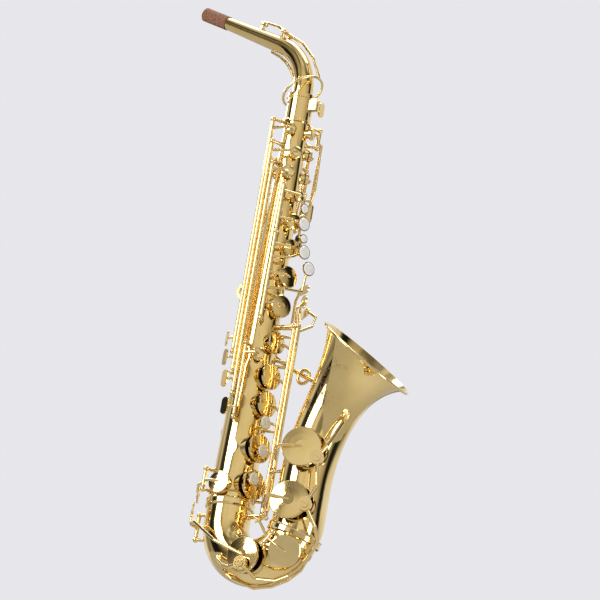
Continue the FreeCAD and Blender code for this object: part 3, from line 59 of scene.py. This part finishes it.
HOLES = {  # key: (tone-hole drop, swing, cup radius)
    "high_f_sharp_key": (44.0, -72.0, 6.0), "high_e_key": (72.0, -42.0, 7.0),
    "palm_f_key": (43.0, 12.0, 7.0), "palm_e_flat_key": (66.0, 44.0, 7.0), "palm_d_key": (94.0, 38.0, 7.5),
    "side_c_key": (96.0, -58.0, 7.5), "c_vent_key": (122.0, -10.0, 6.5), "b_key": (154.0, -18.0, 9.5),
    "bis_key": (185.0, -12.0, 10.5), "a_key": (219.0, -8.0, 12.5), "g_key": (255.0, -16.0, 13.0),
    "side_b_flat_key": (316.0, -52.0, 7.5), "g_sharp_key": (297.0, -10.0, 13.0),
    "f_sharp_key": (339.0, -17.0, 14.5), "f_key": (371.5, -16.0, 14.5), "e_key": (424.0, -19.0, 16.5),
    "d_key": (467.0, -20.0, 17.0), "e_flat_key": (470.0, -88.0, 13.0),
    "body_octave_key": (86.0, 178.0, 4.5),
}
OPEN_AT_REST = {"c_vent_key", "b_key", "bis_key", "a_key", "g_key", "f_sharp_key", "f_key", "e_key",
                "d_key"}  # of the keys that get their pads or pearls here


def place(x, y, z):
    """A point of the drawing axes, in the frame's metres."""
    return Vector(((x + RING_REACH) * MM, y * MM, (z + RING_DROP) * MM))


def swing_dir(swing):
    """Level direction at an angle about the body's axis, from +X towards +Y."""
    return Vector((math.cos(math.radians(swing)), math.sin(math.radians(swing)), 0.0))


def polar(reach, swing, drop):
    """A point at a distance from the body's axis."""
    out = swing_dir(swing) * reach
    return place(out.x, out.y, -drop)


def rest_matrix(key):
    """Moves what is drawn with a key closed to where the key rests."""
    if key not in OPEN_AT_REST:
        return Matrix.Identity(4)
    joint = JOINTS[key]
    limit = max(joint["range_deg"], key=abs)
    at = Vector(joint["pos_m"])
    turn = Matrix.Rotation(math.radians(-limit), 4, Vector(joint["axis"]))
    return Matrix.Translation(at) @ turn @ Matrix.Translation(-at)


# ---------------------------------------------------------------- materials

def new_material(name):
    material = bpy.data.materials.new(name)
    material.use_nodes = True
    nodes = material.node_tree.nodes
    return material, nodes, material.node_tree.links, nodes["Principled BSDF"]


def noise(nodes, links, scale, detail=3.0):
    """A noise texture in the piece's own coordinates."""
    coords = nodes.new("ShaderNodeTexCoord")
    texture = nodes.new("ShaderNodeTexNoise")
    texture.inputs["Scale"].default_value = scale
    texture.inputs["Detail"].default_value = detail
    links.new(coords.outputs["Object"], texture.inputs["Vector"])
    return texture


def ramp(nodes, links, source, stops):
    """A colour ramp over a factor: stops are (position, colour)."""
    node = nodes.new("ShaderNodeValToRGB")
    for index, (position, colour) in enumerate(stops):
        stop = node.color_ramp.elements[index] if index < 2 else node.color_ramp.elements.new(position)
        stop.position = position
        stop.color = (*colour, 1.0)
    links.new(source, node.inputs["Fac"])
    return node.outputs["Color"]


def bump(nodes, links, source, shader, strength, distance):
    """Relief from a factor, with its depth in metres."""
    node = nodes.new("ShaderNodeBump")
    node.inputs["Strength"].default_value = strength
    node.inputs["Distance"].default_value = distance
    links.new(source, node.inputs["Height"])
    links.new(node.outputs["Normal"], shader.inputs["Normal"])


def metal(name, light, dark, rough_low, rough_high, coat=0.0, ripple=0.0):
    """Polished metal whose tone and polish wander slightly over the surface."""
    material, nodes, links, shader = new_material(name)
    shader.inputs["Metallic"].default_value = 1.0
    wide = noise(nodes, links, 38.0)
    tone = ramp(nodes, links, wide.outputs["Fac"], [(0.3, dark), (0.7, light)])
    links.new(tone, shader.inputs["Base Color"])
    fine = noise(nodes, links, 900.0, 2.0)
    low, high = (rough_low,) * 3, (rough_high,) * 3
    polish = ramp(nodes, links, fine.outputs["Fac"], [(0.35, low), (0.75, high)])
    links.new(polish, shader.inputs["Roughness"])
    if coat:
        shader.inputs["Coat Weight"].default_value = coat
        shader.inputs["Coat Roughness"].default_value = 0.03
    if ripple:
        swell = noise(nodes, links, 24.0, 1.0)
        bump(nodes, links, swell.outputs["Fac"], shader, ripple, 0.002)
    return material


def stuff(name, stops, scale, roughness, relief=0.0, relief_scale=0.0, detail=4.0):
    """A non-metal whose colour follows a noise."""
    material, nodes, links, shader = new_material(name)
    grain = noise(nodes, links, scale, detail)
    links.new(ramp(nodes, links, grain.outputs["Fac"], stops), shader.inputs["Base Color"])
    shader.inputs["Roughness"].default_value = roughness
    if relief:
        fine = noise(nodes, links, relief_scale, detail)
        bump(nodes, links, fine.outputs["Fac"], shader, relief, 0.0004)
    return material


LACQUER = metal("gold_lacquer", (0.89, 0.69, 0.31), (0.83, 0.62, 0.24), 0.035, 0.075, 0.45, 0.05)
KEY_BRASS = metal("key_lacquer", (0.89, 0.70, 0.34), (0.83, 0.63, 0.27), 0.05, 0.10, 0.4)
CAST_BRASS = metal("cast_lacquer", (0.88, 0.69, 0.33), (0.82, 0.61, 0.26), 0.07, 0.13, 0.4)
STEEL = metal("bright_steel", (0.72, 0.70, 0.66), (0.60, 0.58, 0.55), 0.12, 0.22)
BLUED = metal("blued_spring", (0.10, 0.13, 0.24), (0.05, 0.06, 0.12), 0.2, 0.3)
PEARL = stuff("mother_of_pearl", [(0.30, (0.80, 0.80, 0.77)), (0.50, (0.93, 0.92, 0.89)),
                                  (0.68, (0.84, 0.88, 0.88))], 260.0, 0.12)
PEARL.node_tree.nodes["Principled BSDF"].inputs["Coat Weight"].default_value = 0.6
CORK = stuff("cork", [(0.36, (0.07, 0.025, 0.015)), (0.46, (0.24, 0.105, 0.06)),
                      (0.70, (0.36, 0.18, 0.11))], 900.0, 0.85, 0.6, 1500.0, 6.0)
PAD = stuff("pad_leather", [(0.30, (0.10, 0.055, 0.03)), (0.70, (0.22, 0.13, 0.075))],
            500.0, 0.55, 0.25, 2600.0)
DARK = stuff("engraving_line", [(0.30, (0.20, 0.12, 0.05)), (0.70, (0.34, 0.21, 0.09))], 800.0, 0.5)
FLOOR = stuff("paper_floor", [(0.30, (0.93, 0.93, 0.95)), (0.70, (0.96, 0.96, 0.97))], 1.5, 0.9)


def material_of(node):
    if node == "neck_cork":
        return CORK
    if node.endswith("_pearl"):
        return PEARL
    if node.endswith("_pad"):
        return PAD
    if node == "hinge_rods":
        return STEEL
    if node in JOINTS:
        return KEY_BRASS
    if node in ("body_tube", "bow", "bell", "neck_tube"):
        return LACQUER
    return CAST_BRASS


def dress(obj, material):
    obj.data.materials.clear()
    obj.data.materials.append(material)


for node, obj in NODES.items():
    dress(obj, material_of(node))


# ---------------------------------------------------------------- mesh helpers

def seat(centre, normal):
    """Matrix that stands a piece drawn about +Z on a point, along a direction."""
    return Matrix.Translation(centre) @ Vector(normal).to_track_quat("Z", "Y").to_matrix().to_4x4()


def finish_piece(name, mesh, matrix, body, material):
    """A smooth piece made of a mesh, put in its place and riding on a body."""
    obj = bpy.data.objects.new(name, mesh)
    bpy.context.scene.collection.objects.link(obj)
    mesh.transform(matrix)
    dress(obj, material)
    for polygon in mesh.polygons:
        polygon.use_smooth = True
    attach(obj, body)
    return obj


def lathe(profile, segments=40):
    """Mesh turned about Z from (radius, height) corners in mm; ends on the axis are closed."""
    mesh = bpy.data.meshes.new("lathe")
    vertices, faces, rings = [], [], []
    for radius, height in profile:
        if radius == 0.0:
            rings.append([len(vertices)])
            vertices.append((0.0, 0.0, height * MM))
            continue
        ring = []
        for step in range(segments):
            angle = 2.0 * math.pi * step / segments
            ring.append(len(vertices))
            vertices.append((radius * math.cos(angle) * MM, radius * math.sin(angle) * MM,
                             height * MM))
        rings.append(ring)
    for low, high in zip(rings, rings[1:]):
        for step in range(segments):
            after = (step + 1) % segments
            if len(low) == 1:
                faces.append((low[0], high[after], high[step]))
            elif len(high) == 1:
                faces.append((low[step], low[after], high[0]))
            else:
                faces.append((low[step], low[after], high[after], high[step]))
    mesh.from_pydata(vertices, [], faces)
    mesh.update()
    return mesh


def wire_piece(name, paths, radius, body, material):
    """Round wire through points in metres, as one curve object turned into a mesh."""
    curve = bpy.data.curves.new(name, "CURVE")
    curve.dimensions = "3D"
    curve.bevel_depth = radius * MM
    curve.bevel_resolution = 3
    curve.use_fill_caps = True
    for points in paths:
        spline = curve.splines.new("POLY")
        spline.points.add(len(points) - 1)
        for spot, point in zip(spline.points, points):
            spot.co = (*point, 1.0)
    temp = bpy.data.objects.new("temp", curve)
    bpy.context.scene.collection.objects.link(temp)
    bpy.context.view_layer.update()
    evaluated = temp.evaluated_get(bpy.context.evaluated_depsgraph_get())
    mesh = bpy.data.meshes.new_from_object(evaluated)
    bpy.data.objects.remove(temp)
    finish_piece(name, mesh, Matrix.Identity(4), body, material)


# ---------------------------------------------------------------- pads, resonators, pearls

RESONATOR_SHARE = 0.42


def pad_profile(radius):
    """Section of a pad with the groove that its chimney's rim has pressed, and a rounded edge."""
    edge = 0.8
    return [(0.0, 0.15), (radius * 0.80, 0.15), (radius * 0.84, 0.45), (radius * 0.90, 0.45),
            (radius * 0.94, 0.05), (radius - edge * 0.6, 0.0), (radius - edge * 0.15, 0.3),
            (radius, edge), (radius, PAD_THICK), (0.0, PAD_THICK)]


def resonator_profile(radius):
    """Section of a domed metal disc with a rivet's head in its middle."""
    return [(0.0, -0.7), (0.8, -0.65), (0.9, -0.4), (radius * 0.5, -0.3), (radius * 0.9, -0.1),
            (radius, 0.12), (0.0, 0.12)]


def add_pad(key, centre, normal, radius):
    """The pad and resonator of a cup, from its chimney's rim, facing and cup radius."""
    pad_radius = radius - CUP_WALL - PAD_PLAY
    matrix = rest_matrix(key) @ seat(centre + normal * PAD_GAP * MM, normal)
    stem = key[:-len("_key")]
    pad = finish_piece(stem + "_pad_skin", lathe(pad_profile(pad_radius)), matrix, key, PAD)
    disc = lathe(resonator_profile(pad_radius * RESONATOR_SHARE), 28)
    finish_piece(stem + "_resonator", disc, matrix, key, STEEL)


for key, (drop, swing, radius) in HOLES.items():
    add_pad(key, polar(body_radius(drop) + CHIMNEY, swing, drop), swing_dir(swing), radius)


# Small pearls of the bis key and the front F lever, in dishes like those of the main touches.
PEARL_DISHES = {  # key: (reach out of the stack's axis, aside, drop, dish radius)
    "bis_key": (28.5, 8.5, 171.5, 4.3),
    "front_f_key": (26.5, 6.0, 135.0, 5.2),
}
STACK_FACING = -10.0
DISH_FLOOR = 1.52
for key, (outward, aside, drop, radius) in PEARL_DISHES.items():
    facing, across = swing_dir(STACK_FACING), swing_dir(STACK_FACING + 90.0)
    spot = facing * outward + across * aside
    centre = place(spot.x, spot.y, -drop) + facing * DISH_FLOOR * MM
    button = lathe([(0.0, 0.0), (radius, 0.0), (radius, 1.2), (radius * 0.93, 1.75),
                    (radius * 0.6, 2.2), (0.0, 2.45)])
    matrix = rest_matrix(key) @ seat(centre, facing)
    finish_piece(key[:-len("_key")] + "_small_pearl", button, matrix, key, PEARL)


# ---------------------------------------------------------------- engraving on the bell

BOW_DROP, BOW_OFFSET = 508.5, 93.0
BEND_DROP, BEND_RADIUS, TILT = 470.0, 249.5, math.radians(38.0)
BOW_END_R, RIM_R, TAPER, FLARE_POWER = 29.0, 57.5, 0.6, 6.5
BELL_LENGTH = BOW_DROP - BEND_DROP + BEND_RADIUS * TILT
LINE_LIFT, LINE_R = 0.03, 0.13  # the engraved lines' middle above the surface, and their radius
BELL_MEAN_R = 31.0  # turns a distance around the bell into an angle


def bell_surface(share, around):
    """Point of a line on the bell: share of its length, angle about its axis from +X towards +Y."""
    run = share * BELL_LENGTH
    angle = max(0.0, run - (BOW_DROP - BEND_DROP)) / BEND_RADIUS
    low = min(run, BOW_DROP - BEND_DROP)
    centre = Vector((BOW_OFFSET + BEND_RADIUS * (1.0 - math.cos(angle)), 0.0,
                     -BOW_DROP + low + BEND_RADIUS * math.sin(angle)))
    flare = RIM_R - BOW_END_R - TAPER
    radius = BOW_END_R + TAPER * share + flare * share ** FLARE_POWER + LINE_LIFT
    turn = math.radians(around)
    outward = Vector((math.cos(angle), 0.0, -math.sin(angle)))
    out = outward * math.cos(turn) + Vector((0.0, 1.0, 0.0)) * math.sin(turn)
    spot = centre + out * radius
    return place(spot.x, spot.y, spot.z)


def vine_leaf(share, around, length, heading, curl):
    """Outline and midrib of one leaf, drawn on the bell: length in mm, heading from the bell's axis."""
    lines = []
    for side in (-1.0, 1.0):
        line = []
        for step in range(9):
            part = step / 8.0
            along = length * part
            across = side * length * 0.24 * math.sin(math.pi * part) + curl * part * part
            line.append((along, across))
        lines.append(line)
    lines.append([(length * part / 6.0, curl * (part / 6.0) ** 2) for part in range(6)])
    turn = math.radians(heading)
    paths = []
    for line in lines:
        path = []
        for along, across in line:
            up = along * math.cos(turn) - across * math.sin(turn)
            side = along * math.sin(turn) + across * math.cos(turn)
            path.append(bell_surface(share + up / BELL_LENGTH,
                                     around + math.degrees(side / BELL_MEAN_R)))
        paths.append(path)
    return paths


STEM_STEPS = 32
FLOWERS = ((0.70, -86.0, 7.5), (0.80, -108.0, 6.5), (0.62, -112.0, 6.0))  # share, around, petal length
PETALS = 7

random.seed(7)
engraved = []
stem = []
for step in range(STEM_STEPS + 1):
    part = step / STEM_STEPS
    share = 0.56 + 0.33 * part
    around = -96.0 + 15.0 * math.sin(part * 7.0) + 10.0 * part
    stem.append(bell_surface(share, around))
    if step % 4 == 2:
        for side in (-1.0, 1.0):
            engraved += vine_leaf(share, around, random.uniform(8.0, 12.0),
                                  side * random.uniform(48.0, 70.0), side * random.uniform(-2.0, 2.0))
engraved.append(stem)
for share, around, size in FLOWERS:
    for petal in range(PETALS):
        engraved += vine_leaf(share, around, size, petal * 360.0 / PETALS, 0.8)
wire_piece("bell_engraving", engraved, LINE_R, "root", DARK)


# ---------------------------------------------------------------- needle springs

SPRING_R = 0.33
SPRING_ASIDE, SPRING_BOW, SPRING_SETBACK = 1.8, 1.3, 1.4  # from its hinge line, in mm


def hinge_line(reach, swing):
    """Where a hinge line along the body's axis stands: its x and y."""
    return reach * math.cos(math.radians(swing)), reach * math.sin(math.radians(swing))


def spring(name, line, drop_post, drop_tip, side):
    """A needle spring: a bowed wire beside a hinge tube, from its post towards the key's foot."""
    x, y = line
    reach = math.hypot(x, y)
    out = Vector((x, y, 0.0)) / reach
    across = Vector((-out.y, out.x, 0.0)) * side
    path = []
    for step in range(9):
        part = step / 8.0
        aside = SPRING_ASIDE + SPRING_BOW * math.sin(part * math.pi * 0.5)
        spot = out * (reach - SPRING_SETBACK) + across * aside
        path.append(place(spot.x, spot.y, -(drop_post + (drop_tip - drop_post) * part)))
    wire_piece(name, [path], SPRING_R, "root", BLUED)


UPPER_LINE, LOWER_LINE = (13.9, -24.8), (32.1, 18.1)
SPRINGS = (  # name, hinge line, drop of the post, drop of the tip, side of the line
    ("b_spring", UPPER_LINE, 170.5, 146.0, 1.0),
    ("a_spring", UPPER_LINE, 170.5, 183.0, 1.0),
    ("g_spring", UPPER_LINE, 274.5, 250.0, 1.0),
    ("c_vent_spring", UPPER_LINE, 112.0, 133.0, 1.0),
    ("f_sharp_spring", LOWER_LINE, 319.2, 344.0, -1.0),
    ("f_spring", LOWER_LINE, 395.0, 368.0, -1.0),
    ("e_spring", LOWER_LINE, 395.0, 420.0, -1.0),
    ("d_spring", LOWER_LINE, 478.0, 456.0, -1.0),
    ("low_b_flat_spring", (50.0, -2.0), 448.6, 420.0, -1.0),
    ("low_b_spring", (44.5, -1.0), 499.6, 466.0, -1.0),
    ("side_b_flat_spring", hinge_line(28.5, -84.0), 392.5, 366.0, 1.0),
    ("side_c_spring", hinge_line(28.5, -98.0), 364.5, 336.0, 1.0),
)
for name, line, drop_post, drop_tip, side in SPRINGS:
    spring(name, line, drop_post, drop_tip, side)


# ---------------------------------------------------------------- floor, light, world, camera

def area_light(name, location, target, size, power, colour=(1.0, 1.0, 1.0)):
    """A rectangular lamp that faces a target: size in metres, power in watts."""
    data = bpy.data.lights.new(name, "AREA")
    data.shape = "RECTANGLE"
    data.size, data.size_y = size
    data.energy = power
    data.color = colour
    obj = bpy.data.objects.new(name, data)
    obj.location = location
    obj.rotation_mode = "QUATERNION"
    obj.rotation_quaternion = (target - location).to_track_quat("-Z", "Y")
    bpy.context.scene.collection.objects.link(obj)


FLOOR_Z, FLOOR_HALF = -3.4, 40.0
floor_corners = [(x * FLOOR_HALF, y * FLOOR_HALF, FLOOR_Z) for x, y in ((-1, -1), (1, -1), (1, 1), (-1, 1))]
floor_mesh = bpy.data.meshes.new("floor")
floor_mesh.from_pydata(floor_corners, [], [(0, 1, 2, 3)])
floor = bpy.data.objects.new("floor", floor_mesh)
bpy.context.scene.collection.objects.link(floor)
dress(floor, FLOOR)

# The camera looks up at the instrument from its front right, from far away, and is rolled a little.
AIM = place(45.8, -1.4, -245.6)
AZIMUTH, ELEVATION, ROLL = math.radians(33.94), math.radians(-18.75), math.radians(9.81)
LENS, SENSOR_WIDTH = 431.6, 36.0
FRAME_WIDTH = 0.6673  # metres across the picture at the aim
DISTANCE = FRAME_WIDTH * LENS / SENSOR_WIDTH
back = Vector((math.sin(AZIMUTH) * math.cos(ELEVATION), -math.cos(AZIMUTH) * math.cos(ELEVATION),
               math.sin(ELEVATION)))
right = Vector((math.cos(AZIMUTH), math.sin(AZIMUTH), 0.0))
up = back.cross(right)
image_right = right * math.cos(ROLL) + up * math.sin(ROLL)
image_up = up * math.cos(ROLL) - right * math.sin(ROLL)
camera_data = bpy.data.cameras.new("camera")
camera_data.lens = LENS
camera_data.sensor_width = SENSOR_WIDTH
camera_data.clip_start, camera_data.clip_end = 0.5, 100.0
camera = bpy.data.objects.new("camera", camera_data)
bpy.context.scene.collection.objects.link(camera)
camera.matrix_world = Matrix.Translation(AIM + back * DISTANCE) @ Matrix((
    (image_right.x, image_up.x, back.x, 0.0),
    (image_right.y, image_up.y, back.y, 0.0),
    (image_right.z, image_up.z, back.z, 0.0),
    (0.0, 0.0, 0.0, 1.0)))
bpy.context.scene.camera = camera

area_light("key", AIM + Vector((-0.80, -2.05, 0.50)), AIM, (1.1, 1.3), 31.0, (1.0, 0.98, 0.95))
area_light("fill", AIM + back * 1.3 + right * 1.8 - up * 0.2, AIM, (0.6, 1.4), 14.0, (0.95, 0.97, 1.0))
area_light("top", AIM + Vector((0.0, 0.3, 1.9)), AIM, (1.6, 0.8), 20.0)
area_light("rim", AIM - back * 1.4 + up * 0.9 - right * 0.9, AIM, (0.4, 1.4), 14.0)

world = bpy.data.worlds.new("studio")
bpy.context.scene.world = world
world.use_nodes = True
nodes, links = world.node_tree.nodes, world.node_tree.links
background = nodes["Background"]
coords = nodes.new("ShaderNodeTexCoord")
room = nodes.new("ShaderNodeTexNoise")
room.inputs["Scale"].default_value = 1.7
room.inputs["Detail"].default_value = 1.5
links.new(coords.outputs["Generated"], room.inputs["Vector"])
room_colour = ramp(nodes, links, room.outputs["Fac"],
                   [(0.40, (0.30, 0.29, 0.27)), (0.50, (0.85, 0.83, 0.80)), (0.58, (1.0, 1.0, 1.0))])


def lean_towards(direction):
    """How far a ray of the room points along a direction, from 0 (away) to 1."""
    dot = nodes.new("ShaderNodeVectorMath")
    dot.operation = "DOT_PRODUCT"
    dot.inputs[1].default_value = direction
    links.new(coords.outputs["Generated"], dot.inputs[0])
    half = nodes.new("ShaderNodeMath")
    half.operation = "MULTIPLY_ADD"
    half.inputs[1].default_value, half.inputs[2].default_value = 0.5, 0.5
    links.new(dot.outputs["Value"], half.inputs[0])
    return half.outputs["Value"]


def blended(mode, first, second):
    """Two colours of the room put together in full."""
    node = nodes.new("ShaderNodeMix")
    node.data_type, node.blend_type = "RGBA", mode
    node.inputs["Factor"].default_value = 1.0
    links.new(first, node.inputs["A"])
    links.new(second, node.inputs["B"])
    return node.outputs["Result"]


# From behind the instrument (0) to the viewer (1): a pale wall, dark sides, a warm and dimmer front.
wall_colour = ramp(nodes, links, lean_towards(back),
                   [(0.10, (0.85, 0.84, 0.82)), (0.36, (0.78, 0.77, 0.74)), (0.43, (0.05, 0.055, 0.07)),
                    (0.54, (0.03, 0.035, 0.045)), (0.62, (0.40, 0.36, 0.28)),
                    (0.80, (0.72, 0.67, 0.58)), (0.95, (0.85, 0.82, 0.76))])
# From straight down (0) to straight up (1): a pale ground and a white ceiling.
height_colour = ramp(nodes, links, lean_towards((0.0, 0.0, 1.0)),
                     [(0.22, (0.95, 0.94, 0.92)), (0.34, (0.62, 0.60, 0.57)), (0.42, (0.0, 0.0, 0.0)),
                      (0.80, (0.0, 0.0, 0.0)), (0.90, (1.0, 1.0, 1.0))])
lit_room = blended("MULTIPLY", blended("LIGHTEN", wall_colour, height_colour), room_colour)

# The camera itself sees an even pale backdrop.
path = nodes.new("ShaderNodeLightPath")
backdrop = nodes.new("ShaderNodeMix")
backdrop.data_type = "RGBA"
links.new(path.outputs["Is Camera Ray"], backdrop.inputs["Factor"])
links.new(lit_room, backdrop.inputs["A"])
backdrop.inputs["B"].default_value = (0.80, 0.80, 0.83, 1.0)
links.new(backdrop.outputs["Result"], background.inputs["Color"])
background.inputs["Strength"].default_value = 1.0
bpy.context.scene.view_settings.view_transform = "Standard"
